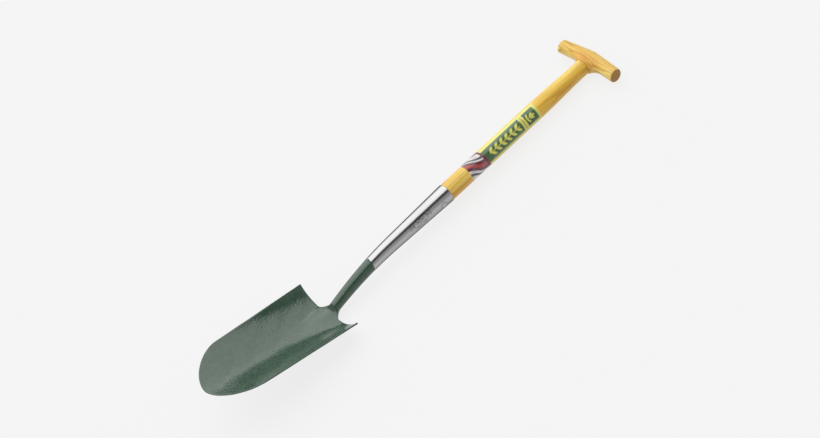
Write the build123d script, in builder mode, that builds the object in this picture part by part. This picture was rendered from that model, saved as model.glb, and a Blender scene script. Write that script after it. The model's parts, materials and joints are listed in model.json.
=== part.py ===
"""T-handled garden spade with a deep gutter-shaped digging blade.

Units are millimetres. The pieces are drawn along the shaft first:
    x  across the blade, y along the shaft from the socket's mouth towards the grip,
    z  out of the hollow face of the blade, with the shaft's centre line at x = z = 0.
At the end the whole spade is laid on its back, on its heel and its grip, hollow face up.
"""

import os
from math import asin, atan2, cos, degrees, hypot, pi, radians, sin

from build123d import *

# ---------------------------------------------------------------- shaft, ash
shaft_radius = 19.0          # straight stretch, from the socket to above the labels
shaft_straight = 270.0       # where the straight stretch ends
shaft_neck_radius = 16.4     # at the grip's shoulder
shoulder_y = 385.0           # where the shaft meets the grip
tenon_radius = 11.0

# ---------------------------------------------------------------- grip, ash
grip_half_width = 75.5
grip_line_y = 408.0          # centre line of the grip at the shaft
grip_droop = 6.0             # how far the ends hang below that
droop_power = 1.3
grip_middle_radius = 16.0
grip_end_radius = 14.3
grip_end_rounding = 2.0
boss_levels = (              # height below the grip's line, half width, half depth
    (grip_line_y - shoulder_y, 21.0, 18.6),
    (17.0, 28.0, 18.0),
    (9.0, 38.0, 16.0),
)
through_grip = 60.0          # longer than the way through the grip
wedge_length = 28.0
wedge_top = 4.0
wedge_tip = 1.0

# ---------------------------------------------------------------- forged head, steel
mouth_radius = 19.6          # outside of the socket at its mouth
mouth_rounding = 0.6
socket_taper = 0.0273        # loss of radius for each millimetre towards the blade
socket_wall = 1.5            # at the mouth
bore_depth = 193.0
bore_end_radius = 11.4
shaft_end_gap = 3.0          # left between the shaft's end and the bottom of the bore
bend_start = 150.0           # below this the neck curves back
bend_radius = 582.0
neck_length = 310.0          # from the mouth to where the neck begins to flatten
neck_steps = 10
root_y = -331.0              # middle of the blade's top edge, on the hollow face
root_z = -32.0
blade_lift = 15.9            # degrees between the blade's line and the shaft
blade_length = 302.0
blade_top_half = 83.5        # half width between the corners
blade_end_half = 78.0        # half width that the sides would have at the tip
blade_top_depth = 31.0
blade_end_depth = 16.0
gutter_round = (0.85, 0.25)  # how rounded the gutter's bottom is, at the top edge and lower down
gutter_turn = 190.0          # where it reaches the second value
gutter_curl = 0.38           # share of the depth that the curled-up edge makes, at the top edge
curl_power = 5
nose_flattening = 0.3        # share of the depth lost at the tip
gutter_stations = (60.0, 125.0, 195.0, 235.0, 265.0, 288.0)
blade_top_thickness = 3.2
blade_end_thickness = 2.2
nose_length = 88.0
nose_power = 1.75            # 2 is an ellipse, less is more pointed
side_margin = 3.0            # cutting outline beyond the hollow face's edge
side_reach = 12.0            # the same along the straight sides
outline_reach = 120.0        # height and depth of the cutting outline
web_half_width = 38.0        # where the top edge begins to rise into the neck
web_height = 14.0
web_top_half = 13.0

# frog: the neck's run-out on the blade, at its start and where it dies out in the sheet
frog_start = 4.0             # distances below the blade's top edge
frog_end = 125.0
frog_before = (9.5, -0.8)    # height above the hollow face
frog_behind = (8.5, 2.4)     # depth below the hollow face
frog_half = (13.5, 5.0)      # half width
frog_fall = (1.8, 1.3)       # powers with which the height and the depth die out
frog_steps = 9

# ---------------------------------------------------------------- fixings and labels
rivet_y = -24.0
rivet_radius = 3.0
rivet_head_radius = 5.5
rivet_head_seat = 1.2        # how deep the head is let into the socket's round wall
rivet_head_rim = 0.2         # the head's edge stands this far out, and its crown further
rivet_head_height = 1.3
film = 0.12                  # thickness of the printed labels
band_range = (55.0, 102.0)   # along the shaft
band_gap = (180.0, 30.0)     # middle and half width of the bare wood, in degrees from z towards x
label_range = (102.0, 248.0)
label_gap = (-135.0, 113.5)


def along_shaft(y, drop=0.0, lean=0.0):
    """Plane across the shaft's line, facing the blade and leaning back by `lean` degrees."""
    facing = (0, -cos(radians(lean)), -sin(radians(lean)))
    return Plane(origin=(0, y, -drop), x_dir=(1, 0, 0), z_dir=facing)


def across_blade(distance, height=0.0):
    """Plane across the blade, `distance` below its top edge and `height` above its face."""
    lift = radians(blade_lift)
    origin = (
        0,
        root_y - distance * cos(lift) + height * sin(lift),
        root_z + distance * sin(lift) + height * cos(lift),
    )
    return Plane(origin=origin, x_dir=(1, 0, 0), z_dir=(0, -cos(lift), sin(lift)))


def neck_drop(depth):
    return max(0.0, depth - bend_start) ** 2 / (2 * bend_radius)


def neck_lean(depth):
    return degrees(atan2(max(0.0, depth - bend_start), bend_radius))


def outer_radius(depth):
    return mouth_radius - socket_taper * depth


def blend(ends, share, power=1.0):
    """Value between two ends, changing fastest at the start if the power is over 1."""
    return ends[1] + (ends[0] - ends[1]) * (1 - share) ** power


def gutter_curve(distance, offset, count=8):
    """Points of the gutter's section, `offset` behind the hollow face."""
    down = distance / blade_length
    half_width = blade_top_half + (blade_end_half - blade_top_half) * down
    depth = blade_top_depth + (blade_end_depth - blade_top_depth) * down
    flat = (distance - blade_length + nose_length) / nose_length
    depth *= 1 - nose_flattening * max(flat, 0.0) ** 2
    turned = min(max(distance / gutter_turn, 0.0), 1.0)
    turned = turned * turned * (3 - 2 * turned)
    bottom = gutter_round[0] + (gutter_round[1] - gutter_round[0]) * turned
    curl = max(gutter_curl * (1 - down), 0.0)
    whole = hypot(1, bottom) - bottom
    points = []
    for step in range(-count, count + 1):
        share = step / count
        reach = hypot(share, bottom)
        z = (1 - curl) * (reach - bottom) / whole + curl * abs(share) ** curl_power
        slope = (1 - curl) * abs(share) / reach / whole
        slope += curl * curl_power * abs(share) ** (curl_power - 1)
        angle = atan2(slope * depth, half_width) * (1 if share > 0 else -1)
        points.append(
            (half_width * share + offset * sin(angle), depth * z - offset * cos(angle))
        )
    return points


def nose_points(half_width, length, count=8):
    """Quarter of the nose's outline, from the side of the blade to the tip."""
    points = []
    for step in range(count + 1):
        angle = pi / 2 * step / count
        x = half_width * cos(angle) ** (2 / nose_power)
        y = length * sin(angle) ** (2 / nose_power)
        points.append((x, y))
    return points


# ---------------------------------------------------------------- blade sheet
with BuildPart() as blade:
    above = web_height + 2.0
    below = blade_length + 4.0
    for distance in (-above, *gutter_stations, below):
        share = distance / blade_length
        thickness = blade_top_thickness + (blade_end_thickness - blade_top_thickness) * share
        face_points = gutter_curve(distance, 0.0)
        back_points = gutter_curve(distance, thickness)
        with BuildSketch(across_blade(distance)):
            with BuildLine():
                Spline(*face_points)
                Spline(*back_points)
                Line(face_points[0], back_points[0])
                Line(face_points[-1], back_points[-1])
            make_face()
    loft(ruled=True)

    # outline seen square to the hollow face: y runs down the blade from the top edge
    lift = radians(blade_lift)
    face_plane = Plane(
        origin=(0, root_y, root_z),
        x_dir=(1, 0, 0),
        z_dir=(0, -sin(lift), -cos(lift)),
    )
    straight = blade_length - nose_length
    side = blade_top_half + side_reach
    nose_side = blade_end_half + (blade_top_half - blade_end_half) * nose_length / blade_length
    nose = nose_points(nose_side + side_margin, nose_length)
    with BuildSketch(face_plane):
        with BuildLine():
            right_nose = [(x, straight + y) for x, y in nose]
            left_nose = [(-x, y) for x, y in reversed(right_nose)]
            Spline(*right_nose, tangents=((0, 1), (-1, 0)))
            Spline(*left_nose, tangents=((-1, 0), (0, -1)))
            Polyline(left_nose[-1], (-side, straight), (-side, 0), (-web_half_width, 0))
            Spline(
                (-web_half_width, 0),
                (-web_top_half, -web_height),
                tangents=((1, 0), (0.25, -1)),
            )
            Line((-web_top_half, -web_height), (web_top_half, -web_height))
            Spline(
                (web_top_half, -web_height),
                (web_half_width, 0),
                tangents=((0.25, 1), (1, 0)),
            )
            Polyline((web_half_width, 0), (side, 0), (side, straight), right_nose[0])
        make_face()
    extrude(amount=outline_reach, both=True, mode=Mode.INTERSECT)

# ---------------------------------------------------------------- rivet through the socket
with BuildPart() as socket_rivet:
    seat = outer_radius(-rivet_y)
    with BuildSketch(Plane.YZ):
        with Locations((rivet_y, 0)):
            Circle(rivet_radius)
    extrude(amount=seat - rivet_head_seat, both=True)
    rise = rivet_head_height - rivet_head_rim
    dome_radius = (rivet_head_radius**2 + rise**2) / (2 * rise)
    half_way = asin(rivet_head_radius / dome_radius) / 2
    edge_y = rivet_y + rivet_head_radius
    for side in (1, -1):
        base = side * (seat - rivet_head_seat)
        rim = side * (seat + rivet_head_rim)
        crown = side * (seat + rivet_head_height)
        on_dome = crown - side * dome_radius * (1 - cos(half_way))
        with BuildSketch(Plane.XY):
            with BuildLine():
                Polyline((crown, rivet_y), (base, rivet_y), (base, edge_y), (rim, edge_y))
                ThreePointArc(
                    (rim, edge_y),
                    (on_dome, rivet_y + dome_radius * sin(half_way)),
                    (crown, rivet_y),
                )
            make_face()
        revolve(axis=Axis((0, rivet_y, 0), (1, 0, 0)))

# ---------------------------------------------------------------- forged head
with BuildPart() as forged_head:
    bend = neck_length - bend_start
    depths = [0.0] + [bend_start + bend * step / neck_steps for step in range(neck_steps + 1)]
    for depth in depths:
        with BuildSketch(along_shaft(-depth, neck_drop(depth), neck_lean(depth))):
            Circle(outer_radius(depth))
    for step in range(frog_steps + 1):
        share = step / frog_steps
        before = blend(frog_before, share, frog_fall[0])
        behind = blend(frog_behind, share, frog_fall[1])
        distance = frog_start + (frog_end - frog_start) * share
        with BuildSketch(across_blade(distance, (before - behind) / 2)):
            Ellipse(blend(frog_half, share**3), (before + behind) / 2)
    loft(ruled=True)
    fillet(forged_head.edges().group_by(Axis.Y)[-1], mouth_rounding)
    add(blade.part)
    with BuildSketch(along_shaft(0)):
        Circle(mouth_radius - socket_wall)
    with BuildSketch(along_shaft(-bore_depth)):
        Circle(bore_end_radius)
    loft(mode=Mode.SUBTRACT)
    add(socket_rivet.part, mode=Mode.SUBTRACT)

# ---------------------------------------------------------------- outer form of the grip
with BuildPart() as grip_form:
    stations = (-1.0, -0.5, 0.0, 0.5, 1.0)
    for share in stations:
        centre = (share * grip_half_width, grip_line_y - grip_droop * abs(share) ** droop_power, 0)
        radius = grip_middle_radius + (grip_end_radius - grip_middle_radius) * abs(share)
        with BuildSketch(Plane(origin=centre, x_dir=(0, 1, 0), z_dir=(1, 0, 0))):
            Circle(radius)
    loft()
    end_edges = grip_form.edges().group_by(Axis.X)
    fillet(end_edges[0] + end_edges[-1], grip_end_rounding)
    for below_line, half_width, half_depth in boss_levels:
        with BuildSketch(along_shaft(grip_line_y - below_line)):
            Ellipse(half_width, half_depth)
    loft()

# ---------------------------------------------------------------- wedge in the tenon
with BuildPart() as grip_wedge:
    top_y = grip_line_y + grip_middle_radius + 5.0
    tip_y = grip_line_y + grip_middle_radius - wedge_length
    with BuildSketch(along_shaft(top_y)):
        Rectangle(wedge_top, 2 * tenon_radius)
    with BuildSketch(along_shaft(tip_y)):
        Rectangle(wedge_tip, 2 * tenon_radius)
    loft()
    with BuildSketch(along_shaft(top_y)):
        Circle(tenon_radius)
    extrude(amount=wedge_length + 10.0, mode=Mode.INTERSECT)
    add(grip_form.part, mode=Mode.INTERSECT)

# ---------------------------------------------------------------- T grip
with BuildPart() as t_grip:
    add(grip_form.part)
    with BuildSketch(along_shaft(shoulder_y - 1.0)):
        Circle(tenon_radius)
    extrude(amount=-through_grip, mode=Mode.SUBTRACT)

# ---------------------------------------------------------------- tenon, trimmed to the grip
with BuildPart() as tenon:
    with BuildSketch(along_shaft(shoulder_y - 5.0)):
        Circle(tenon_radius)
    extrude(amount=-through_grip)
    add(grip_form.part, mode=Mode.INTERSECT)
    add(grip_wedge.part, mode=Mode.SUBTRACT)

# ---------------------------------------------------------------- shaft
with BuildPart() as ash_shaft:
    shaft_end = bore_depth - shaft_end_gap
    bore_radius = mouth_radius - socket_wall
    end_radius = bore_end_radius + (bore_radius - bore_end_radius) * shaft_end_gap / bore_depth
    with BuildSketch(Plane.XY):
        with BuildLine():
            Polyline((0, -shaft_end), (end_radius, -shaft_end), (bore_radius, 0), (shaft_radius, 0))
            Line((shaft_radius, 0), (shaft_radius, shaft_straight))
            Spline(
                (shaft_radius, shaft_straight),
                (shaft_neck_radius, shoulder_y),
                tangents=((0, 1), (-0.01, 1)),
            )
            Polyline((shaft_neck_radius, shoulder_y), (0, shoulder_y), (0, -shaft_end))
        make_face()
    revolve(axis=Axis.Y)
    add(tenon.part)
    add(socket_rivet.part, mode=Mode.SUBTRACT)

# ---------------------------------------------------------------- printed labels
def wrap_label(span, gap):
    """Film wrapped round the shaft over `span`, open over the `gap`."""
    start, end = span
    middle, half = (radians(angle) for angle in gap)
    outer = shaft_radius + film
    reach = 3 * outer
    steps = 6
    edge = [(0.0, 0.0)]
    for step in range(steps + 1):
        angle = middle - half + 2 * half * step / steps
        edge.append((reach * sin(angle), reach * cos(angle)))
    with BuildPart() as wrap:
        with BuildSketch(along_shaft(start)):
            Circle(outer)
            Circle(shaft_radius, mode=Mode.SUBTRACT)
            with BuildLine():
                Polyline(*edge, close=True)
            make_face(mode=Mode.SUBTRACT)
        extrude(amount=-(end - start))
    return wrap


striped_band = wrap_label(band_range, band_gap)
main_label = wrap_label(label_range, label_gap)

# ---------------------------------------------------------------- laid on its back
pieces = {
    "forged_head": forged_head,
    "ash_shaft": ash_shaft,
    "t_grip": t_grip,
    "grip_wedge": grip_wedge,
    "socket_rivet": socket_rivet,
    "striped_band": striped_band,
    "main_label": main_label,
}

heel_depth = -forged_head.part.bounding_box().min.Z
grip_depth = -t_grip.part.bounding_box().min.Z
lie_angle = -degrees(atan2(heel_depth - grip_depth, grip_line_y - root_y))
for piece in pieces.values():
    piece.part.move(Location((0, 0, 0), (lie_angle, 0, 0)))

overall = Compound([piece.part for piece in pieces.values()]).bounding_box()
lift_to_floor = Location((0, -(overall.min.Y + overall.max.Y) / 2, -overall.min.Z))

os.makedirs("parts", exist_ok=True)
for label, piece in pieces.items():
    piece.part.move(lift_to_floor)
    piece.part.label = label
    export_step(piece.part, f"parts/{label}.step")

print("lie angle", round(lie_angle, 3), "moved by", lift_to_floor.position)
print("size", overall.size)
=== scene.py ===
import json
import math

import bpy
import numpy as np
from mathutils import Matrix, Vector


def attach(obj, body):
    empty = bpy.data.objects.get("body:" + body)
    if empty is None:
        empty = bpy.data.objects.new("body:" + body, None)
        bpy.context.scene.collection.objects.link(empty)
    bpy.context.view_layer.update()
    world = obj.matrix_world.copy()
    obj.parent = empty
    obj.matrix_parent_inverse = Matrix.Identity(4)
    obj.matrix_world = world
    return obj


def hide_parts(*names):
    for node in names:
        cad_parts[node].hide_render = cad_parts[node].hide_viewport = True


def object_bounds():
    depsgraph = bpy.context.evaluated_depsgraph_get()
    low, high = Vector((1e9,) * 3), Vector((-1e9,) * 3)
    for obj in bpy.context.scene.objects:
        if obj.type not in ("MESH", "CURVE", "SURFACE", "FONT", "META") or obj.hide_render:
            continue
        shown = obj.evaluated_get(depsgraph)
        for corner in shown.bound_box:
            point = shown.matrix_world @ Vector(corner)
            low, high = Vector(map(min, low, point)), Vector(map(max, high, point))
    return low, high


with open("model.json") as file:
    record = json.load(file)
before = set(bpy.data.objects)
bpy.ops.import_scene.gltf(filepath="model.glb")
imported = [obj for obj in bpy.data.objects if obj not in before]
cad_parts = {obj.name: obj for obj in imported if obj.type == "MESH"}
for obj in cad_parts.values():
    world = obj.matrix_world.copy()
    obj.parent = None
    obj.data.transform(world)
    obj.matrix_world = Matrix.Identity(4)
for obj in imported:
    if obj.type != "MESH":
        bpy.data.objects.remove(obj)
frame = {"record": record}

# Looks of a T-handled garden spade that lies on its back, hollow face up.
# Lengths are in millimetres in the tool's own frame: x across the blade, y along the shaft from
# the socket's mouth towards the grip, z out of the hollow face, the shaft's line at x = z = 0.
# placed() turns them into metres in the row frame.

cad_low, cad_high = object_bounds()

MM = 0.001
pinhole = 0.05  # radius of the small face that closes a turned end

# -------------------- where the shaft lies
clip = next(m for m in frame["record"]["mounts"] if m["name"] == "shaft_clip")
clip_y = 262.0  # the clip's place along the shaft
shaft_line = Vector(clip["axis"]).normalized()
lie_angle = math.atan2(shaft_line.z, shaft_line.y)
mouth_centre = Vector(clip["pos_m"]) - shaft_line * clip_y * MM
to_row = Matrix.Translation(mouth_centre) @ Matrix.Rotation(lie_angle, 4, "X")

# -------------------- sizes, as in the CAD
mouth_radius = 19.6
mouth_rounding = 0.6
socket_taper = 0.0273
socket_wall = 1.5
bore_depth = 193.0
bore_end_radius = 11.4
bore_rounding = 0.25
foot_gap = 3.0  # left free below the shaft's foot
bend_start = 150.0
bend_radius = 582.0
neck_end = 312.0  # depth where the round neck starts to spread into the blade
paint_line = 209.0  # depth of the paint's edge below the mouth

root = np.array([0.0, -331.0, -32.0])
blade_lift = math.radians(15.9)
blade_length = 302.0
blade_half = (83.5, 78.0)
blade_depth = (31.0, 16.0)
blade_thickness = (3.2, 2.2)
gutter_round = (0.85, 0.25)  # how rounded the gutter's bottom is, at the top and lower down
gutter_turn = 190.0  # where the second of these is reached
gutter_curl = 0.38  # share of the depth made by the curled-up edge, at the top
curl_power = 5
nose_flattening = 0.3  # share of the depth lost at the tip
nose_length = 88.0
nose_power = 1.72
waves_start = 30.0  # where the sheet's unevenness is full

# where the neck runs into the blade: a crown in the middle of the hollow face, a table
# beside it and a rib behind, which all fade out down the blade
fade_span = (4.0, 125.0)
crown_half = (24.0, 36.0)  # half width, at the top and from crown_turn on
crown_turn = 120.0
crown_rise, crown_fading = 3.6, 2.6
table_half = (31.0, 19.0)
table_turn = 70.0
table_flanks = (11.0, 26.0)  # how wide its slopes are, on the left and on the right
table_rise, table_fading = 4.2, 3.0
rib_rise, rib_fading = 3.8, 1.5

# the web between the blade's top edge and the neck
web_half = 28.0  # half width, along the blade's top edge
web_leave = 18.0  # how firmly it leaves the edge upwards, in its middle
web_inward = 24.0  # and inwards, at its two sides
web_side_power = 2.2
web_arrive = 8.0  # how firmly it meets the neck
web_rim = math.radians(7.0)  # half of the neck's round that the rim takes on each side
edge_bulge = 0.75  # rounding of the blade's ground edge

shaft_radius = 19.0
shaft_neck_radius = 16.4
shaft_narrowing = (252.0, 372.0)
shoulder_y = 385.0
tenon_radius = 11.0
tenon_proud = 0.12

grip_half_width = 75.5
grip_line_y = 408.0
grip_droop = 6.0
grip_droop_power = 1.3
grip_radius = (16.0, 14.3)  # at the middle and at the ends
grip_rounding = 2.0
boss_half_width = 20.5  # across the grip, at the shoulder
boss_half_depth = 18.6
boss_flare, boss_flare_power = 0.55, 1.35  # how it widens from there up into the arms
boss_thinning = 0.0115
boss_scale = 17.0  # turns the boss's radial shares into millimetres
boss_rounding = 1.0
grip_blend = 9.0  # size of the fillet between boss and arms

wedge_half = (2.0, 10.8)  # thickness and width
wedge_foot_y = 396.0
wedge_taper = 0.25  # the foot's thickness, as a share of the top's
wedge_proud = 0.26
rivet_y = -24.0
rivet_head_radius = 5.5
rivet_rim, rivet_crown = 0.2, 1.3  # the head's heights over the socket
film = 0.12
film_lap = 0.65  # share of the film's thickness lost at its edges
band_range = (55.0, 102.0)
band_cover = (0.0, 150.0)  # middle and half width in degrees, from z towards x
label_range = (102.0, 248.0)
label_cover = (45.0, 66.5)
label_facing = math.radians(50.0)  # the print's middle, turned from z towards x
mark_facing = math.radians(60.0)
mark_y = -82.0
mark_half = (9.5, 19.0)  # the etched oval's half sizes, round the socket and along it


def mix(ends, share):
    return ends[0] + (ends[1] - ends[0]) * share


def smooth(share):
    share = np.clip(share, 0.0, 1.0)
    return share * share * (3 - 2 * share)


def placed(points):
    """Tool millimetres to metres in the row frame."""
    turn = np.array(to_row)
    return points * MM @ turn[:3, :3].T + turn[:3, 3]


def build(name, points, faces, material, node, sharp=50.0):
    """A shown piece from points in tool millimetres, which rides on the one body."""
    mesh = bpy.data.meshes.new(name)
    mesh.from_pydata(placed(np.asarray(points, float)).tolist(), [], [list(f) for f in faces])
    mesh.validate()
    mesh.polygons.foreach_set("use_smooth", [True] * len(mesh.polygons))
    mesh.set_sharp_from_angle(angle=math.radians(sharp))
    mesh.materials.append(material)
    piece = bpy.data.objects.new(name, mesh)
    bpy.context.scene.collection.objects.link(piece)
    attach(piece, "root")
    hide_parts(node)


# order of a quad's corners, as steps of (row, column)
down_first = ((0, 0), (1, 0), (1, 1), (0, 1))
across_first = ((0, 0), (0, 1), (1, 1), (1, 0))


def quads(index, rows, columns, corners):
    """Four-sided faces between the points that index(row, column) numbers."""
    return [
        tuple(index(row + down, column + on) for down, on in corners)
        for row in range(rows)
        for column in range(columns)
    ]


def flipped(faces):
    return [face[::-1] for face in faces]


def ring_faces(rings, count):
    """Faces of a closed skin made of rings of `count` points each, with both ends."""
    faces = quads(lambda ring, k: ring * count + k % count, rings - 1, count, across_first)
    last = (rings - 1) * count
    return faces + [tuple(range(count))[::-1], tuple(range(last, last + count))]


def slab_faces(rows, columns):
    """Faces of a closed slab: a grid of points, the same grid below it, and the border."""
    below = rows * columns
    top = quads(lambda i, j: i * columns + j, rows - 1, columns - 1, down_first)
    faces = top + [tuple(v + below for v in face) for face in flipped(top)]
    border = list(range(columns))
    border += [i * columns + columns - 1 for i in range(1, rows)]
    border += [(rows - 1) * columns + j for j in range(columns - 2, -1, -1)]
    border += [i * columns for i in range(rows - 2, 0, -1)]
    for k, a in enumerate(border):
        b = border[(k + 1) % len(border)]
        faces.append((a, b, b + below, a + below))
    return faces


# -------------------- forged head
def socket_radius(depth):
    """Outer radius of the socket and neck at a depth below the mouth."""
    return mouth_radius - socket_taper * depth


def neck_frame(depth):
    """Centre, direction towards the mouth and upward direction of the neck at a depth."""
    run = max(0.0, depth - bend_start)
    lean = math.atan2(run, bend_radius)
    centre = np.array([0.0, -depth, -run * run / (2 * bend_radius)])
    towards = np.array([0.0, math.cos(lean), math.sin(lean)])
    upward = np.array([0.0, -math.sin(lean), math.cos(lean)])
    return centre, towards, upward


down_blade = np.array([0.0, -math.cos(blade_lift), math.sin(blade_lift)])
off_blade = np.array([0.0, math.sin(blade_lift), math.cos(blade_lift)])
across = np.array([1.0, 0.0, 0.0])


def forged_waves(u, t):
    """Slow unevenness of hand-finished sheet."""
    broad = np.sin(u / 11.0 + 1.3 * np.sin(t / 23.0)) * np.sin(t / 17.0 + 0.8)
    return 0.16 * broad + 0.10 * np.sin(u / 6.1 - t / 9.7)


def blade_point(u, t, side):
    """Point on the hollow face (side 1) or the back (side -1) of the blade.

    `u` is the distance from the blade's middle line, `t` the distance below its top edge.
    """
    share = np.clip(t / blade_length, 0.0, 1.0)
    half = mix(blade_half, share)
    flat = np.clip((t - blade_length + nose_length) / nose_length, 0.0, 1.0) ** 2
    depth = mix(blade_depth, share) * (1 - nose_flattening * flat)
    thick = mix(blade_thickness, share)
    across_share = np.abs(u) / half
    bottom = mix(gutter_round, smooth(t / gutter_turn))
    curl = gutter_curl * (1 - share)
    whole = np.hypot(1, bottom) - bottom
    reach = np.hypot(across_share, bottom)
    profile = (1 - curl) * (reach - bottom) / whole + curl * across_share**curl_power
    height = depth * profile + forged_waves(u, t) * smooth(t / waves_start)
    slope = (1 - curl) * across_share / reach / whole
    slope = slope + curl * curl_power * across_share ** (curl_power - 1)
    slope = np.sign(u) * slope * depth / half
    norm = np.sqrt(1 + slope**2)
    fade = np.clip(1 - (t - fade_span[0]) / (fade_span[1] - fade_span[0]), 0.0, 2.0)
    crown_share = np.abs(u) / mix(crown_half, smooth(t / crown_turn))
    crown = 0.5 * (1 + np.cos(np.pi * np.clip(crown_share, 0, 1)))
    if side > 0:
        flank = mix(table_half, smooth(t / table_turn))
        spread = np.where(u < 0, *table_flanks)
        table = 1 - smooth((np.abs(u) - flank) / spread + 0.5)
        height = height + table_rise * fade**table_fading * table
        height = height + crown_rise * fade**crown_fading * crown
        offset = 0.0
    else:
        height = height - rib_rise * fade**rib_fading * crown
        offset = thick
    sideways = u + offset * slope / norm
    height = height - offset / norm
    place = root + sideways[..., None] * across + t[..., None] * down_blade
    return place + height[..., None] * off_blade


# mesh cells: across the web and each side of it, down the blade and its nose, up the web,
# round the rim, and along the neck and socket
web_cells = 40
side_cells = 24
straight_rows = 110
nose_rows = 46
web_rows = 16
rim_cells = 5
neck_rows = 34
socket_rows = 60

web_shares = np.linspace(-1, 1, web_cells + 1)
side_shares = np.linspace(0, 1, side_cells + 1)[1:]
straight = blade_length - nose_length


def blade_grid():
    """Rows of points in the blade's own plane, from the top edge to the rounded tip."""
    rows_u, rows_t = [], []
    for row in range(straight_rows + 1):
        t = straight * row / straight_rows
        half = mix(blade_half, t / blade_length)
        right = web_half + (half - web_half) * side_shares
        rows_u.append(np.concatenate([-right[::-1], web_half * web_shares, right]))
        rows_t.append(np.full(rows_u[-1].shape, t))
    half = mix(blade_half, straight / blade_length)
    column = rows_u[-1] / half
    for row in range(1, nose_rows + 1):
        v = row / nose_rows
        x = column * math.sqrt(1 - v * v / 2)
        y = v * np.sqrt(1 - column**2 / 2)
        r = np.hypot(x, y)
        c, s = np.abs(x) / np.maximum(r, 1e-9), y / np.maximum(r, 1e-9)
        squash = (c**nose_power + s**nose_power) ** (-1 / nose_power)
        squash = 1 + (squash - 1) * r**4
        rows_u.append(half * x * squash)
        rows_t.append(straight + nose_length * y * squash)
    return np.array(rows_u), np.array(rows_t)


def hermite(share, start, leave, end, arrive):
    """Point of a curve that leaves one point and arrives at another in given directions."""
    square, cube = share**2, share**3
    return (
        (2 * cube - 3 * square + 1) * start
        + (cube - 2 * square + share) * leave
        + (3 * square - 2 * cube) * end
        + (cube - square) * arrive
    )


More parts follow.
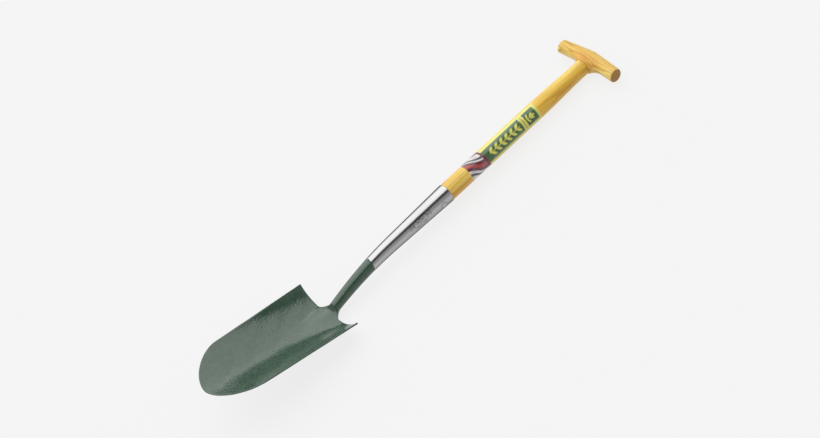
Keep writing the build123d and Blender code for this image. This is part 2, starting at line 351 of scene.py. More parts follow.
class Head:
    """Mesh of the forging. Side 1 is the hollow face and side -1 the back."""

    def __init__(self):
        self.blocks, self.count, self.faces = [], 0, []
        self.grid_u, self.grid_t = blade_grid()
        self.rows, self.columns = self.grid_u.shape
        self.blade_start, self.web_start = {}, {}
        self.turn = web_shares * (math.pi / 2 - web_rim)
        self.add_blade()
        self.add_web()
        self.add_rim()
        self.add_socket()
        self.points = np.concatenate(self.blocks)

    def put(self, block):
        """Adds points and gives the number of the first."""
        block = np.asarray(block, float).reshape(-1, 3)
        self.blocks.append(block)
        self.count += len(block)
        return self.count - len(block)

    def blade_index(self, side, row, column):
        return self.blade_start[side] + row * self.columns + column

    def web_index(self, side, row, column):
        """Row 0 of the web is the blade's top edge."""
        if row == 0:
            return self.blade_index(side, 0, side_cells + column)
        return self.web_start[side] + (row - 1) * (web_cells + 1) + column

    def rim_index(self, layer, k):
        """Layer 0 of the rim is the hollow face's edge, the last one the back's."""
        if layer == 0:
            return int(self.front[k])
        if layer == rim_cells:
            return int(self.back[k])
        return self.rim_start + (layer - 1) * len(self.front) + k

    def cover(self, index, side, rows, columns, corners):
        faces = quads(lambda row, column: index(side, row, column), rows, columns, corners)
        self.faces += faces if side > 0 else flipped(faces)

    def add_blade(self):
        for side in (1, -1):
            self.blade_start[side] = self.put(blade_point(self.grid_u, self.grid_t, side))
            self.cover(self.blade_index, side, self.rows - 1, self.columns - 1, down_first)

    def add_web(self):
        """Each column runs from the blade's top edge up into the round neck."""
        centre, towards, upward = neck_frame(neck_end)
        step = 0.5
        top_u = self.grid_u[0, side_cells : side_cells + web_cells + 1]
        top_t = np.zeros_like(top_u)
        side_weight = np.abs(web_shares) ** web_side_power
        for side in (1, -1):
            start = blade_point(top_u, top_t, side)
            du = (blade_point(top_u + step, top_t, side) - start) / step
            dt = (blade_point(top_u, top_t + step, side) - start) / step
            upwards = -dt * (web_leave * (1 - side_weight))[:, None]
            inwards = -du * (np.sign(web_shares) * web_inward * side_weight)[:, None]
            round_ = np.sin(self.turn)[:, None] * across
            round_ = round_ + side * np.cos(self.turn)[:, None] * upward
            end = centre + socket_radius(neck_end) * round_
            block = [
                hermite(row / web_rows, start, upwards + inwards, end, web_arrive * towards)
                for row in range(1, web_rows + 1)
            ]
            self.web_start[side] = self.put(block)
        for side in (1, -1):
            self.cover(self.web_index, side, web_rows, web_cells, across_first)

    def add_rim(self):
        """Closes the edge between both sides, once round from the neck's left to its right."""
        blade, web = self.blade_index, self.web_index
        first, last = side_cells, side_cells + web_cells
        right, tip = self.columns - 1, self.rows - 1
        outline = [(web, row, 0) for row in range(web_rows, 0, -1)]
        outline += [(blade, 0, column) for column in range(first, -1, -1)]
        outline += [(blade, row, 0) for row in range(1, tip + 1)]
        outline += [(blade, tip, column) for column in range(1, right + 1)]
        outline += [(blade, row, right) for row in range(tip - 1, -1, -1)]
        outline += [(blade, 0, column) for column in range(right - 1, last - 1, -1)]
        outline += [(web, row, web_cells) for row in range(1, web_rows + 1)]
        self.front = np.array([index(1, row, column) for index, row, column in outline])
        self.back = np.array([index(-1, row, column) for index, row, column in outline])

        every = np.concatenate(self.blocks)
        a, b = every[self.front], every[self.back]
        middle, half_thick = (a + b) / 2, (a - b) / 2
        tangent = np.gradient(middle, axis=0)
        tangent /= np.linalg.norm(tangent, axis=1)[:, None]
        through = half_thick / np.linalg.norm(half_thick, axis=1)[:, None]
        outward = np.cross(through, tangent)
        outward /= np.linalg.norm(outward, axis=1)[:, None]
        # at the tip, outward is down the blade
        if np.dot(outward[len(outline) // 2], down_blade) < 0:
            outward = -outward
        # at the neck the rim follows the round; along the sheet it is a rounded, ground edge
        neck_bulge = socket_radius(neck_end) * (1 - math.cos(web_rim))
        neck_share = [smooth(row / web_rows) if index == web else 0.0 for index, row, _ in outline]
        bulge = mix((edge_bulge, neck_bulge), np.array(neck_share))
        rim = []
        for layer in range(1, rim_cells):
            angle = math.pi * layer / rim_cells
            swell = outward * (bulge * math.sin(angle) ** 0.8)[:, None]
            rim.append(middle + half_thick * math.cos(angle) + swell)
        self.rim_start = self.put(rim)
        self.faces += quads(self.rim_index, rim_cells, len(outline) - 1, down_first)

    def carry_on(self, lower, depth, radius):
        """One more ring round the neck or socket, joined to the ring before it."""
        centre, _, upward = neck_frame(depth)
        round_ = np.sin(self.angles)[:, None] * across + np.cos(self.angles)[:, None] * upward
        begin = self.put(centre + radius * round_)
        size = len(lower)
        rings = (lower, range(begin, begin + size))
        self.faces += quads(lambda ring, k: rings[ring][k % size], 1, size, across_first)
        return rings[1]

    def add_socket(self):
        """Rings from the web's end along the neck and socket, and down the bore."""
        # the first ring: front left to right, rim, back right to left, rim
        end = len(self.front) - 1
        ring = [self.web_index(1, web_rows, column) for column in range(web_cells + 1)]
        ring += [self.rim_index(layer, end) for layer in range(1, rim_cells)]
        ring += [self.web_index(-1, web_rows, column) for column in range(web_cells, -1, -1)]
        ring += [self.rim_index(layer, 0) for layer in range(rim_cells - 1, 0, -1)]
        turn = self.turn
        rim_turn = web_rim * (2 * np.arange(1, rim_cells) / rim_cells - 1)
        self.angles = np.concatenate(
            [turn, math.pi / 2 + rim_turn, math.pi - turn[::-1], 1.5 * math.pi + rim_turn]
        )
        for k in range(1, neck_rows + 1):
            depth = mix((neck_end, paint_line), k / neck_rows)
            ring = self.carry_on(ring, depth, socket_radius(depth))
        self.painted_faces, self.painted_end = len(self.faces), tuple(ring)

        # up the bare socket, over its rounded mouth and down the bore
        depths = [paint_line * (1 - k / socket_rows) for k in range(1, socket_rows)]
        profile = [(depth, socket_radius(depth)) for depth in depths]
        for angle in np.linspace(0, math.pi / 2, 6):
            drop = mouth_rounding * (1 - math.sin(angle))
            profile.append((drop, mouth_radius - mouth_rounding * (1 - math.cos(angle))))
        bore_mouth = mouth_radius - socket_wall
        profile += [(0.0, bore_mouth + bore_rounding), (bore_rounding, bore_mouth)]
        profile += [(bore_depth, bore_end_radius), (bore_depth, pinhole)]
        for depth, radius in profile:
            ring = self.carry_on(ring, depth, radius)
        self.faces.append(tuple(ring))


def split_head(enamel, steel):
    """Two pieces of the one forging: the painted blade and neck, and the bare socket."""
    head = Head()
    painted, cap = head.painted_faces, head.painted_end

    def part(name, faces, material):
        used = sorted({v for face in faces for v in face})
        number = {v: i for i, v in enumerate(used)}
        faces = [[number[v] for v in face] for face in faces]
        build(name, head.points[used], faces, material, "forged_head", sharp=46.0)

    part("painted_blade_and_neck", head.faces[:painted] + [cap], enamel)
    part("polished_socket", head.faces[painted:] + [cap[::-1]], steel)


# -------------------- turned and shaped pieces
def lathe(profile, count, origin, axis, side):
    """Points and faces of a profile of (along, radius) turned about an axis; ends are closed."""
    origin, axis, side = (np.array(v, float) for v in (origin, axis, side))
    other = np.cross(axis, side)
    angles = np.linspace(0, 2 * math.pi, count, endpoint=False)
    round_ = np.cos(angles)[:, None] * side + np.sin(angles)[:, None] * other
    rings = [origin + axis * along + radius * round_ for along, radius in profile]
    return np.concatenate(rings), ring_faces(len(profile), count)


def grip_line(x):
    """Where the grip's middle line runs, along the shaft, and the grip's radius there."""
    share = np.abs(x) / grip_half_width
    return grip_line_y - grip_droop * share**grip_droop_power, mix(grip_radius, share)


def grip_top(x, z, proud):
    """Height along the shaft of the grip's far side."""
    line, radius = grip_line(x)
    return line + np.sqrt(np.maximum(radius**2 - z**2, 0.0)) + proud


def shaft_radius_at(y):
    start, end = shaft_narrowing
    return float(mix((shaft_radius, shaft_neck_radius), smooth((y - start) / (end - start))))


def make_shaft(material):
    """The shaft from its foot in the socket to the tenon's end, flush with the grip's top."""
    foot = foot_gap - bore_depth
    profile = [(foot, pinhole), (foot, bore_end_radius)]
    # the shoulder that sits on the socket's mouth, with its corner taken off
    profile += [(-0.3, mouth_radius - socket_wall - 0.05), (0.05, shaft_radius - 0.35)]
    profile += [(0.4, shaft_radius - 0.08), (1.0, shaft_radius)]
    profile += [(y, shaft_radius_at(y)) for y in np.linspace(4, shoulder_y + 0.5, 128)]
    profile += [(shoulder_y + 1.0, tenon_radius), (grip_line_y + 2.0, tenon_radius)]
    # the tenon's end: rings laid over the grip's top, the outermost let down into it
    shares = (1.0, 0.97, 0.85, 0.7, 0.5, 0.3, 0.1, 0.01)
    end_rings = [(grip_line_y, tenon_radius * share) for share in shares]
    count = 112
    points, faces = lathe(profile + end_rings, count, (0, 0, 0), (0, 1, 0), (0, 0, 1))
    end = points[len(profile) * count :]
    end[:, 1] = grip_top(end[:, 0], end[:, 2], tenon_proud)
    end[:count, 1] -= tenon_proud + 0.02
    build("shaft_of_ash", points, faces, material, "ash_shaft")


def rounded_overlap(a, b, rounding):
    """Field of what lies inside both fields, with their common edge rounded."""
    a, b = a + rounding, b + rounding
    inside = np.minimum(np.maximum(a, b), 0)
    return inside + np.hypot(np.maximum(a, 0), np.maximum(b, 0)) - rounding


def grip_field(x, y, z):
    """Signed distance-like field of the grip: negative inside."""
    line, radius = grip_line(x)
    bar = np.hypot(y - line, z) - radius
    bar = rounded_overlap(bar, np.abs(x) - grip_half_width, grip_rounding)
    below = np.clip(grip_line_y - y, 0.0, None)
    rise = np.clip(grip_line_y - shoulder_y - below, 0.0, None)
    half_width = boss_half_width + boss_flare * rise**boss_flare_power
    half_depth = boss_half_depth - boss_thinning * rise**2
    boss = (np.hypot(x / half_width, z / half_depth) - 1) * boss_scale
    boss = rounded_overlap(boss, shoulder_y - y, boss_rounding)
    boss = np.maximum(boss, y - grip_line_y)
    meet = np.maximum(grip_blend - np.abs(bar - boss), 0) / grip_blend
    return np.minimum(bar, boss) - meet**2 * grip_blend / 4


def make_grip(material):
    """The grip's surface, found ring by ring: each point is where the field changes sign."""
    straight_half = grip_half_width - grip_rounding
    corner = np.linspace(0, math.pi / 2, 7)[1:]
    right = np.concatenate(
        [np.linspace(0, straight_half, 76), straight_half + grip_rounding * np.sin(corner)]
    )
    right[-1] -= 0.002  # the last ring stays just inside the end
    stations = np.concatenate([-right[::-1], right[1:]])
    count = 128
    angles = np.linspace(0, 2 * math.pi, count, endpoint=False)
    x = np.repeat(stations[:, None], count, 1)
    line, _ = grip_line(x)
    low, high = np.full(x.shape, 4.0), np.full(x.shape, 60.0)
    for _ in range(40):
        middle = (low + high) / 2
        value = grip_field(x, line + middle * np.cos(angles), middle * np.sin(angles))
        low = np.where(value < 0, middle, low)
        high = np.where(value < 0, high, middle)
    rings = np.stack([x, line + low * np.cos(angles), low * np.sin(angles)], -1)
    shares = np.array((0.9, 0.75, 0.55, 0.35, 0.15, 0.01))[:, None, None]
    left, right = (ring.mean(0) + (ring - ring.mean(0)) * shares for ring in (rings[0], rings[-1]))
    every = np.concatenate([left[::-1], rings, right])
    faces = flipped(ring_faces(len(every), count))
    build("t_grip_of_ash", every.reshape(-1, 3), faces, material, "t_grip")


def make_wedge(material):
    """A thin tapered slip of hardwood, cut flush with the grip's top."""
    columns, rows = 7, 25
    half_thickness, half_width = wedge_half
    top, bottom = [], []
    for z_share in np.linspace(-1, 1, rows):
        for x_share in np.linspace(-1, 1, columns):
            round_end = math.sqrt(max(1 - abs(z_share) ** 14, 0.0))
            x = (half_thickness * round_end * 0.98 + 0.02) * x_share
            z = half_width * z_share
            edge = max(abs(x_share), abs(z_share)) ** 10
            top.append((x, float(grip_top(x, z, wedge_proud - 0.2 * edge)), z))
            bottom.append((x * wedge_taper, wedge_foot_y, z))
    points, faces = np.array(top + bottom), slab_faces(rows, columns)
    build("tenon_wedge", points, faces, material, "grip_wedge", sharp=40)


def make_rivet(material):
    """One rivet right through the socket, with a low domed head on each side."""
    seat = mouth_radius + socket_taper * rivet_y
    rim, crown, base = seat + rivet_rim, seat + rivet_crown, seat - 1.2
    rise = crown - rim
    dome = (rivet_head_radius**2 + rise**2) / (2 * rise)
    head = []
    for angle in np.linspace(0, math.asin(rivet_head_radius / dome), 13):
        head.append((crown - dome * (1 - math.cos(angle)), max(dome * math.sin(angle), 0.02)))
    head += [(rim - 0.12, rivet_head_radius + 0.08), (base, rivet_head_radius), (base, 3.0)]
    profile = [(-along, radius) for along, radius in head] + head[::-1]
    points, faces = lathe(profile, 72, (0, rivet_y, 0), (1, 0, 0), (0, 1, 0))
    build("rivet_heads", points, faces, material, "socket_rivet")


def make_film(name, span, cover, material, node):
    """Printed film round the shaft, pressed thin at its edges."""
    start, end = span
    middle_angle, half_angle = (math.radians(v) for v in cover)
    columns, rows = 121, 61
    outer, inner = [], []
    for b in np.linspace(-1, 1, rows):
        y = (start + end) / 2 + b * (end - start) / 2
        surface = shaft_radius_at(y)
        for a in np.linspace(-1, 1, columns):
            angle = middle_angle + a * half_angle
            lap = 1 - film_lap * max(abs(a), abs(b)) ** 60
            for radius, layer in ((surface + film * lap, outer), (surface - 0.02, inner)):
                layer.append((radius * math.sin(angle), y, radius * math.cos(angle)))
    points, faces = np.array(outer + inner), slab_faces(rows, columns)
    build(name, points, faces, material, node, sharp=60)


# -------------------- material helpers
def srgb(r, g, b):
    def linear(c):
        c /= 255
        return c / 12.92 if c <= 0.04045 else ((c + 0.055) / 1.055) ** 2.4
    return (linear(r), linear(g), linear(b), 1.0)


class Nodes:
    """Short calls for the nodes that a material or the world needs."""

    def __init__(self, tree):
        self.nodes, self.links = tree.nodes, tree.links

    def feed(self, socket, value):
        if isinstance(value, bpy.types.NodeSocket):
            self.links.new(value, socket)
        else:
            socket.default_value = value

    def split(self, vector):
        node = self.nodes.new("ShaderNodeSeparateXYZ")
        self.feed(node.inputs[0], vector)
        return node.outputs

    def math(self, operation, *values):
        node = self.nodes.new("ShaderNodeMath")
        node.operation = operation
        for socket, value in zip(node.inputs, values):
            self.feed(socket, value)
        return node.outputs[0]

    def plus(self, a, b):
        return self.math("ADD", a, b)

    def minus(self, a, b):
        return self.math("SUBTRACT", a, b)

    def times(self, a, b):
        return self.math("MULTIPLY", a, b)

    def between(self, value, low, high, to_low=0.0, to_high=1.0):
        """Soft step from one level to another."""
        node = self.nodes.new("ShaderNodeMapRange")
        node.interpolation_type = "SMOOTHSTEP"
        for socket, number in zip(node.inputs, (value, low, high, to_low, to_high)):
            self.feed(socket, number)
        return node.outputs[0]

    def blend(self, share, a, b, kind="RGBA"):
        node = self.nodes.new("ShaderNodeMix")
        node.data_type = kind
        place = ("FLOAT", "VECTOR", "RGBA").index(kind)
        self.feed(node.inputs[0], share)
        self.feed(node.inputs[2 + 2 * place], a)
        self.feed(node.inputs[3 + 2 * place], b)
        return node.outputs[place]


class Shader(Nodes):
    """A material whose patterns are placed in tool millimetres."""

    def __init__(self, name):
        self.material = bpy.data.materials.new(name)
        self.material.use_nodes = True
        super().__init__(self.material.node_tree)
        self.surface = self.nodes["Principled BSDF"]
        place = self.nodes.new("ShaderNodeTexCoord")
        back = to_row.inverted()
        turn = self.nodes.new("ShaderNodeMapping")
        turn.vector_type = "POINT"
        turn.inputs["Rotation"].default_value = back.to_euler("XYZ")
        turn.inputs["Location"].default_value = back.translation / MM
        turn.inputs["Scale"].default_value = (1 / MM,) * 3
        self.feed(turn.inputs["Vector"], place.outputs["Object"])
        self.where = turn.outputs["Vector"]
        self.x, self.y, self.z = self.split(self.where)

    def hypot(self, a, b):
        return self.math("SQRT", self.plus(self.times(a, a), self.times(b, b)))

    def scaled(self, *scales):
        """Tool coordinates multiplied on each axis."""
        node = self.nodes.new("ShaderNodeVectorMath")
        node.operation = "MULTIPLY"
        self.feed(node.inputs[0], self.where)
        node.inputs[1].default_value = scales
        return node.outputs[0]

    def noise(self, vector, scale=1.0, detail=3.0, rough=0.5, distortion=0.0):
        node = self.nodes.new("ShaderNodeTexNoise")
        self.feed(node.inputs["Vector"], vector)
        node.inputs["Scale"].default_value = scale
        node.inputs["Detail"].default_value = detail
        node.inputs["Roughness"].default_value = rough
        node.inputs["Distortion"].default_value = distortion
        return node.outputs["Fac"]

    def ramp(self, value, stops, kind="LINEAR"):
        node = self.nodes.new("ShaderNodeValToRGB")
        node.color_ramp.interpolation = kind
        elements = node.color_ramp.elements
        while len(elements) < len(stops):
            elements.new(0.5)
        for element, (position, colour) in zip(elements, stops):
            element.position = position
            element.color = colour
        self.feed(node.inputs["Fac"], value)
        return node.outputs["Color"]

    def bump(self, height, distance, strength, below=None):
        node = self.nodes.new("ShaderNodeBump")
        node.inputs["Strength"].default_value = strength
        node.inputs["Distance"].default_value = distance
        self.feed(node.inputs["Height"], height)
        if below is not None:
            self.feed(node.inputs["Normal"], below)
        return node.outputs["Normal"]

    def set(self, **values):
        for name, value in values.items():
            self.feed(self.surface.inputs[name.replace("_", " ")], value)


def grey(level):
    return (level, level, level, 1.0)


def within(s, value, low, high):
    """Mask of the values between two limits."""
    off = s.math("ABSOLUTE", s.minus(value, (low + high) / 2))
    return s.math("LESS_THAN", off, (high - low) / 2)


def leaf(s, u, v, centre, angle, length, width):
    """Mask of a pointed leaf shape."""
    c, d = math.cos(math.radians(angle)), math.sin(math.radians(angle))
    du = s.minus(u, centre[0])
    dv = s.minus(v, centre[1])
    along = s.plus(s.times(dv, c), s.times(du, d))
    over = s.minus(s.times(du, c), s.times(dv, d))
    share = s.math("DIVIDE", along, length)
    edge = s.times(s.minus(1.0, s.times(share, share)), width)
    return s.math("LESS_THAN", s.math("ABSOLUTE", over), edge)


def unrolled(s, facing, radius):
    """Distance round a cylinder from where it faces, and distance along it."""
    angle = s.math("ARCTAN2", s.x, s.z)
    return s.times(s.minus(angle, facing), radius), s.y


# -------------------- head: enamel and steel
def head_material(name, edge_tint):
    """Hammer-finish enamel below the paint's edge, polished steel above it."""
    s = Shader(name)
    # ragged edge of the dipped paint
    ragged = s.noise(s.scaled(1, 0.25, 1), 0.16, 2.0)
    line = s.plus(s.y, s.times(s.minus(ragged, 0.5), 9.0))
    painted = s.math("LESS_THAN", line, -paint_line)

    fine = s.noise(s.where, 0.30, 1.5, 0.45, 0.6)
    coarse = s.noise(s.where, 0.09, 3.0, 0.5)
    dimple = s.nodes.new("ShaderNodeTexVoronoi")
    dimple.feature = "SMOOTH_F1"
    dimple.inputs["Scale"].default_value = 0.30
    s.links.new(s.where, dimple.inputs["Vector"])
    hammer = s.plus(s.times(dimple.outputs["Distance"], 0.35), fine)
    greens = [(0.3, srgb(40, 66, 50)), (0.55, srgb(48, 74, 58)), (0.8, srgb(56, 82, 66))]
    green = s.ramp(coarse, greens)
    flecks = s.between(s.noise(s.where, 1.3, 2.0, 0.6), 0.60, 0.78)
    green = s.blend(s.times(flecks, 0.30), green, srgb(86, 112, 94))

    # polished steel: fine lines round the socket, faint smears along it
    rings = s.noise(s.scaled(0.15, 5.0, 0.15), 1.0, 3.0, 0.7)
    lines = s.noise(s.scaled(2.4, 0.02, 2.4), 1.0, 3.0, 0.6)
    smear = s.noise(s.scaled(0.12, 0.012, 0.12), 1.0, 2.0)
    steel = s.ramp(smear, [(0.25, srgb(167, 168, 167)), (0.7, srgb(178, 179, 178))])
    steel = s.blend(s.times(lines, 0.16), steel, srgb(118, 119, 115))

    # etched mark on the socket: an oval with two leaves, and two bars at each end
    u, v = unrolled(s, mark_facing, socket_radius(-mark_y))
    v = s.minus(v, mark_y)
    half_width, half_length = mark_half
    radial = s.hypot(s.math("DIVIDE", u, half_width), s.math("DIVIDE", v, half_length))
    mark = within(s, radial, 0.92, 1.05)
    for tilt in (-32.0, 32.0):
        whole = leaf(s, u, v, (0.0, 0.0), tilt, 14.0, 4.0)
        inner = leaf(s, u, v, (0.0, 0.0), tilt, 11.6, 3.0)
        mark = s.math("MAXIMUM", mark, s.minus(whole, inner))
    for place in (-26.5, -23.0, 23.0, 26.5):
        bar = s.times(within(s, v, place - 0.7, place + 0.7), within(s, u, -5.0, 5.0))
        mark = s.math("MAXIMUM", mark, bar)
    steel = s.blend(s.times(mark, 0.62), steel, srgb(66, 76, 70))

    # painted shade: a dark ring round each rivet head stands for the shade of a groove that the
    # mesh doesn't have
    away = s.hypot(s.minus(s.y, rivet_y), s.z)
    painted_groove_shade = s.between(away, rivet_head_radius + 0.1, rivet_head_radius + 1.1, 1.0, 0.0)
    steel = s.blend(s.times(painted_groove_shade, 0.85), steel, srgb(44, 44, 42))

    s.set(
        Base_Color=s.blend(painted, steel, green),
        Metallic=s.minus(1.0, painted),
        Roughness=s.blend(
            painted,
            s.ramp(rings, [(0.3, grey(0.16)), (0.7, grey(0.22))]),
            s.ramp(fine, [(0.3, grey(0.09)), (0.7, grey(0.17))]),
        ),
        IOR=1.6,
        Specular_Tint=edge_tint,
    )
    # the relief of each, and the paint's own thickness at its edge
    bare, dipped = s.bump(rings, 0.000002, 0.5), s.bump(hammer, 0.00027, 1.0)
    relief = s.nodes.new("ShaderNodeVectorMath")
    relief.operation = "NORMALIZE"
    s.feed(relief.inputs[0], s.blend(painted, bare, dipped, "VECTOR"))
    s.set(Normal=s.bump(painted, 0.0002, 0.6, relief.outputs[0]))
    return s.material


def rivet_material():
    s = Shader("rivet_steel")
    spot = s.noise(s.where, 0.8, 3.0, 0.6)
    scratch = s.noise(s.scaled(1.0, 6.0, 0.5), 1.0, 2.0)
    s.set(
        Base_Color=s.ramp(spot, [(0.3, srgb(150, 150, 146)), (0.7, srgb(186, 186, 182))]),
        Metallic=1.0,
        Roughness=s.between(scratch, 0.3, 0.7, 0.2, 0.34),
        Normal=s.bump(spot, 0.0001, 0.5),
    )
    return s.material


# -------------------- wood
def wood_material(name, along, tones, pith, ring, end_at=None, light_and_shade_tints=None):
    """Lacquered ash: growth rings cut lengthwise, porous streaks and darker heart stripes.

    `along` is the grain's axis. `pith` says where the rings' centre lies across the grain, how
    far it wanders and how it leans; `ring` is a ring's width. `end_at` is the end grain's place.
    The last argument gives the tint of painted light on the shaft's lit side and of painted shade
    on its far side; the second also warms the wood near the socket.
    """
    s = Shader(name)
    length = {"x": s.x, "y": s.y}[along]
    side = {"x": s.y, "y": s.x}[along]
    # scales down and across the grain of the slow wander, the streaks, pores and heart stripes
    scales = {
        "x": ((0.006, 0.030), (0.010, 0.25), (0.05, 1.7), (0.012, 0.11)),
        "y": ((0.0035, 0.020), (0.006, 0.22), (0.035, 1.7), (0.0075, 0.085)),
    }[along]
    slow, streak, pore, stripe = (
        s.scaled(*((down, over, over) if along == "x" else (over, down, over)))
        for down, over in scales
    )
    wander = s.noise(slow, 1.0, 2.0)
    wobble = s.noise(streak, 1.0, 2.0)
    distance = s.hypot(s.minus(side, pith[0]), s.minus(s.z, pith[1]))
    for value, share in ((wander, pith[2]), (wobble, 1.6), (length, pith[3])):
        distance = s.plus(distance, s.times(value, share))
    phase = s.math("FRACT", s.math("DIVIDE", distance, ring))
    late_wood = ((0.0, 0.0), (0.10, 0.9), (0.22, 0.45), (0.75, 0.08), (1.0, 0.0))
    late = s.ramp(phase, [(place, grey(level)) for place, level in late_wood])
    light, middle, dark, deep = tones
    base = s.blend(s.between(wander, 0.46, 0.62), light, middle)
    base = s.blend(s.times(s.between(wobble, 0.45, 0.70), 0.6), base, middle)
    base = s.blend(s.times(late, 0.72), base, dark)
    heart = s.between(s.noise(stripe, 1.0, 1.0, 0.5, 0.4), 0.56, 0.70)
    base = s.blend(s.times(heart, 0.55), base, dark)
    if light_and_shade_tints is not None:
        # painted light and shade: paler on the side towards the light, upper left, and darker and
        # warmer on the far side, by the angle round the shaft
        turn = s.math("ARCTAN2", s.x, s.z)
        turn = s.plus(turn, s.times(s.minus(wander, 0.5), 1.6))
        painted_light_tone, painted_shade_and_warm_tone = light_and_shade_tints
        pale = s.between(turn, -0.2, 0.7, 0.55, 0.0)
        pale = s.times(pale, s.between(s.y, 30.0, 130.0, 0.1, 1.0))
        base = s.blend(pale, base, painted_light_tone)
        base = s.blend(s.between(turn, 0.6, 1.4, 0.0, 0.40), base, painted_shade_and_warm_tone)
        # warmer wood near the socket, in the same tint as the painted shade
        base = s.blend(s.between(s.y, 30.0, 90.0, 0.38, 0.0), base, painted_shade_and_warm_tone)
    if along == "x":
        # darker, more orange colour round the boss, on the shaft's side
        boss = s.between(s.math("ABSOLUTE", s.x), 14.0, 46.0, 0.5, 0.0)
        boss = s.times(boss, s.between(s.y, 398.0, 414.0, 1.0, 0.0))
        base = s.blend(boss, base, srgb(200, 134, 40))
    pores = s.between(s.noise(pore, 1.0, 3.0, 0.6), 0.56, 0.72)
    pores = s.times(pores, s.between(late, 0.1, 0.6, 0.25, 1.0))
    base = s.blend(s.times(pores, 0.45), base, deep)
    if end_at is not None:
        # end grain, which drinks the lacquer and stays darker
        ended = s.between(s.math("ABSOLUTE", length), end_at - 0.7, end_at + 0.1)
        arcs = s.blend(late, srgb(166, 118, 52), srgb(116, 78, 34))
        speck = s.noise(s.scaled(0.2, 1.6, 1.6), 1.0, 3.0, 0.7)
        arcs = s.blend(s.between(speck, 0.5, 0.7, 0.0, 0.6), arcs, srgb(96, 62, 26))
        base = s.blend(ended, base, arcs)
    relief = s.plus(s.times(pores, -0.6), s.times(late, 0.25))
    s.set(
        Base_Color=base,
        Roughness=s.between(pores, 0.0, 1.0, 0.38, 0.5),
        IOR=1.4,
        Specular_IOR_Level=0.3,
        Coat_Weight=0.2,
        Coat_Roughness=0.2,
        Normal=s.bump(relief, 0.00018, 0.5),
    )
    return s.material


# -------------------- printed films
def print_material():
    """Both films: a striped band, then a label with two panels, met on a slightly skew line."""
    s = Shader("printed_films")
    u, v = unrolled(s, label_facing, shaft_radius)
    # painted shade: the yellow and the green grow darker round the shaft towards the right, away
    # from the light
    painted_shade_yellow = s.blend(s.between(u, -22.0, 20.0), srgb(210, 207, 104), srgb(196, 191, 78))
    green = s.blend(s.between(u, -12.0, 17.0), srgb(64, 96, 58), srgb(50, 82, 42))
    pale = srgb(150, 168, 142)
    across_panel = within(s, u, -16.0, 13.5)
    panel = s.times(across_panel, within(s, v, 90.0, 201.5))
    second = s.times(across_panel, within(s, v, 213.0, 241.5))
    colour = s.blend(s.plus(panel, second), painted_shade_yellow, green)

    # leafy scroll along the first panel, with a dashed line on each side
    start, pitch, leaves, middle = 112.5, 14.0, 6, -1.2
    inner = within(s, v, start, start + leaves * pitch)
    local = s.minus(s.math("MODULO", s.minus(v, start), pitch), pitch / 2)
    scroll = within(s, u, middle - 0.8, middle + 0.8)
    for side in (-1, 1):
        shape = leaf(s, u, local, (middle + side * 4.8, 1.0 + side), side * 38.0, 6.8, 2.9)
        scroll = s.math("MAXIMUM", scroll, shape)
    colour = s.blend(s.times(scroll, inner), colour, painted_shade_yellow)
    dashes = s.math("LESS_THAN", s.math("MODULO", v, 4.2), 3.0)
    for place in (-13.0, 10.6):
        line = s.times(within(s, u, place - 0.55, place + 0.55), inner)
        colour = s.blend(s.times(s.times(line, dashes), 0.8), colour, pale)

    # rule between the panels, made of ticks
    rule = s.times(within(s, u, -14.0, 12.5), within(s, v, 205.4, 208.8))
    tick = s.math("LESS_THAN", s.math("MODULO", s.plus(u, 40.0), 2.6), 1.5)
    colour = s.blend(s.times(s.times(rule, tick), 0.75), colour, srgb(104, 112, 46))

    # a flower with three petals and two low leaves in the second panel
    high, low = 222.5, 216.5
    flower = s.times(within(s, u, middle - 0.7, middle + 0.7), within(s, v, 215.0, 224.0))
    petals = ((0, 7.4, high), (30, 6.4, high), (-30, 6.4, high), (62, 5.6, low), (-62, 5.6, low))
    for angle, length, base in petals:
        turn = math.radians(angle)
        centre = (middle + length * 0.95 * math.sin(turn), base + length * 0.95 * math.cos(turn))
        shape = leaf(s, u, v, centre, angle, length, length * 0.36)
        flower = s.math("MAXIMUM", flower, shape)
    colour = s.blend(s.times(flower, second), colour, painted_shade_yellow)

    # diagonal stripes of the band
    sway = s.times(s.math("SINE", s.times(v, 0.13)), 2.2)
    lean = s.minus(s.times(u, 0.85), s.times(v, 0.42))
    lean = s.plus(s.plus(lean, sway), 421.5)
    phase = s.math("FRACT", s.math("DIVIDE", lean, 46.0))
    maroon, red = srgb(98, 36, 46), srgb(168, 50, 40)
    white, navy = srgb(210, 204, 202), srgb(42, 48, 70)
    stops = (
        (0.00, white), (0.08, navy), (0.17, white), (0.24, maroon), (0.36, red),
        (0.50, maroon), (0.64, white), (0.76, navy), (0.86, white),
    )
    stripes = s.ramp(phase, stops, "CONSTANT")
    fold = s.between(s.math("SINE", s.times(s.plus(u, v), 0.21)), -1.0, 1.0)
    stripes = s.blend(s.times(fold, 0.3), stripes, srgb(120, 112, 124))
    skew = s.minus(v, s.times(u, 0.123))
    stripes = s.blend(s.math("GREATER_THAN", skew, band_range[1] - 5.0), stripes, maroon)
    colour = s.blend(s.math("GREATER_THAN", skew, label_range[0] + 0.1), stripes, colour)

    # satin film with faint creases and a little dust
    dust = s.noise(s.where, 0.5, 3.0, 0.6)
    crease = s.noise(s.scaled(0.10, 0.30, 0.10), 1.0, 2.0)
    s.set(
        Base_Color=s.blend(s.between(dust, 0.55, 0.8, 0.0, 0.10), colour, srgb(214, 206, 170)),
        Roughness=s.between(dust, 0.3, 0.7, 0.24, 0.36),
        IOR=1.5,
        Coat_Weight=0.4,
        Coat_Roughness=0.1,
        Normal=s.bump(crease, 0.0003, 0.3),
    )
    return s.material


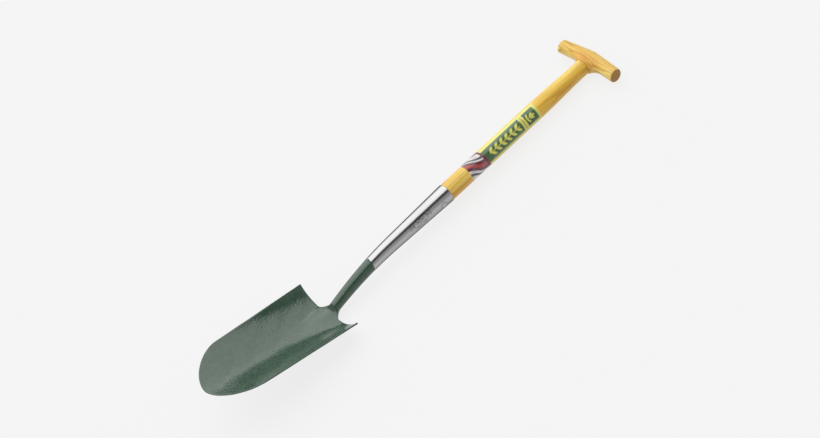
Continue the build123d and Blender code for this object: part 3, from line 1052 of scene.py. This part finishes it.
# -------------------- the pieces
enamel = head_material("hammered_enamel", grey(1.0))
steel = head_material("polished_steel", grey(0.12))
split_head(enamel, steel)
golden = (srgb(236, 216, 118), srgb(228, 188, 74), srgb(182, 127, 40), srgb(124, 84, 32))
# tints of painted light on the shaft's lit side and of painted shade on its far side
shaft_light_and_shade_tints = (srgb(224, 200, 112), srgb(200, 142, 46))
make_shaft(
    wood_material("ash_along_the_shaft", "y", golden, (48.0, 30.0, 26.0, 0.018), 5.5, 423.0, shaft_light_and_shade_tints)
)
tawny = (srgb(228, 205, 118), srgb(224, 188, 92), srgb(154, 95, 30), srgb(98, 60, 22))
make_grip(
    wood_material("ash_along_the_grip", "x", tawny, (360.0, 34.0, 22.0, 0.03), 5.0, grip_half_width)
)
dark_wood = (srgb(150, 100, 56), srgb(132, 84, 44), srgb(92, 56, 28), srgb(70, 42, 22))
make_wedge(wood_material("wedge_hardwood", "y", dark_wood, (20.0, 4.0, 6.0, 0.02), 2.2))
make_rivet(rivet_material())
films = print_material()
make_film("striped_band_film", band_range, band_cover, films, "striped_band")
make_film("printed_label_film", label_range, label_cover, films, "main_label")


# -------------------- floor, light, camera
floor_half = 9.0
floor_gap = 0.0002  # the floor lies this little below the spade
floor_glow = 0.81  # the floor lights itself, so that shadows stay faint
camera_aim = Vector((-0.0163, 0.0120, -0.0190))  # from the middle of the spade's box
camera_distance = 5.8505
camera_azimuth, camera_elevation = math.radians(65.755), math.radians(46.410)
camera_roll = math.radians(-25.784)
camera_lens = 133.687

# the studio's brightness by direction: x across the spade (right is +x), y along it, z up
ceiling_level = 2.02
ceiling_edge = (0.665, 0.25, 0.28)  # height of its lower edge, and how that changes with x
ceiling_end = 0.24  # the ceiling's end on the right
right_wall = 0.45  # the lower part of the right wall
front_wall = 0.55  # the walls ahead and behind
wall_levels = (0.22, 0.10)  # at the floor and just under the ceiling
seen_level = 0.92  # what the camera itself sees beyond the floor


def make_floor():
    mesh = bpy.data.meshes.new("floor")
    corners = [(-1, -1), (1, -1), (1, 1), (-1, 1)]
    points = [(x * floor_half, y * floor_half, 0) for x, y in corners]
    mesh.from_pydata(points, [], [(0, 1, 2, 3)])
    s = Shader("pale_floor")
    tint = s.noise(s.where, 0.004, 2.0)
    s.set(
        Base_Color=s.ramp(tint, [(0.3, grey(0.079)), (0.7, grey(0.081))]),
        Roughness=0.9,
        Specular_IOR_Level=0.0,
        Emission_Color=grey(1.0),
        Emission_Strength=floor_glow,
    )
    mesh.materials.append(s.material)
    floor = bpy.data.objects.new("floor", mesh)
    floor.location.z = cad_low.z - floor_gap
    bpy.context.scene.collection.objects.link(floor)


def make_world():
    """Pale studio: a bright ceiling, lower on the left and ended on the right, and dim walls."""
    world = bpy.data.worlds.new("studio")
    bpy.context.scene.world = world
    world.use_nodes = True
    w = Nodes(world.node_tree)
    w.nodes.clear()
    x, y, z = w.split(w.nodes.new("ShaderNodeTexCoord").outputs["Generated"])
    base, slant, curve = ceiling_edge
    edge = w.plus(base, w.times(x, slant))
    edge = w.minus(edge, w.times(w.times(x, x), curve))
    above = w.between(w.minus(z, edge), -0.02, 0.03)
    leftward = w.between(x, ceiling_end - 0.05, ceiling_end + 0.05, 1.0, 0.0)
    ceiling = w.times(above, leftward)
    # the walls ahead and behind are paler, and so is the lower part of the right one
    wall = w.between(z, 0.02, 0.30, *wall_levels)
    wall = w.plus(wall, w.between(w.math("ABSOLUTE", y), 0.66, 0.92, 0.0, front_wall))
    low = w.between(z, 0.58, 0.68, right_wall, 0.0)
    wall = w.plus(wall, w.times(w.between(x, 0.2, 0.4), low))
    glow = w.blend(ceiling, wall, ceiling_level, "FLOAT")
    by_camera = w.nodes.new("ShaderNodeLightPath").outputs["Is Camera Ray"]
    back = w.nodes.new("ShaderNodeBackground")
    back.inputs["Color"].default_value = grey(1.0)
    w.feed(back.inputs["Strength"], w.blend(by_camera, glow, seen_level, "FLOAT"))
    w.feed(w.nodes.new("ShaderNodeOutputWorld").inputs["Surface"], back.outputs[0])


def add_light(name, location, size, power):
    """A square area light that points at the middle of the floor."""
    light = bpy.data.lights.new(name, "AREA")
    light.size = size
    light.energy = power
    lamp = bpy.data.objects.new(name, light)
    lamp.location = location
    lamp.rotation_mode = "QUATERNION"
    lamp.rotation_quaternion = (-Vector(location)).to_track_quat("-Z", "Y")
    bpy.context.scene.collection.objects.link(lamp)


def make_camera():
    """A long lens, high on the spade's right, rolled so that the spade lies slantwise."""
    flat = math.cos(camera_elevation)
    sideways = Vector((math.sin(camera_azimuth), -math.cos(camera_azimuth), 0)) * flat
    backward = sideways + Vector((0, 0, math.sin(camera_elevation)))
    place = (cad_low + cad_high) / 2 + camera_aim + backward * camera_distance
    level = (-backward).cross(Vector((0, 0, 1))).normalized()
    upright = level.cross(-backward)
    right = level * math.cos(camera_roll) + upright * math.sin(camera_roll)
    data = bpy.data.cameras.new("camera")
    data.sensor_width = 36.0
    data.lens = camera_lens
    data.clip_start, data.clip_end = 0.05, 100.0
    camera = bpy.data.objects.new("camera", data)
    turned = Matrix((right, backward.cross(right), backward)).transposed().to_4x4()
    camera.matrix_world = Matrix.Translation(place) @ turned
    bpy.context.scene.collection.objects.link(camera)
    bpy.context.scene.camera = camera


make_floor()
make_world()
add_light("soft_key", (-2.6, 0.4, 3.4), 4.0, 10.0)
make_camera()
bpy.context.scene.view_settings.view_transform = "Standard"
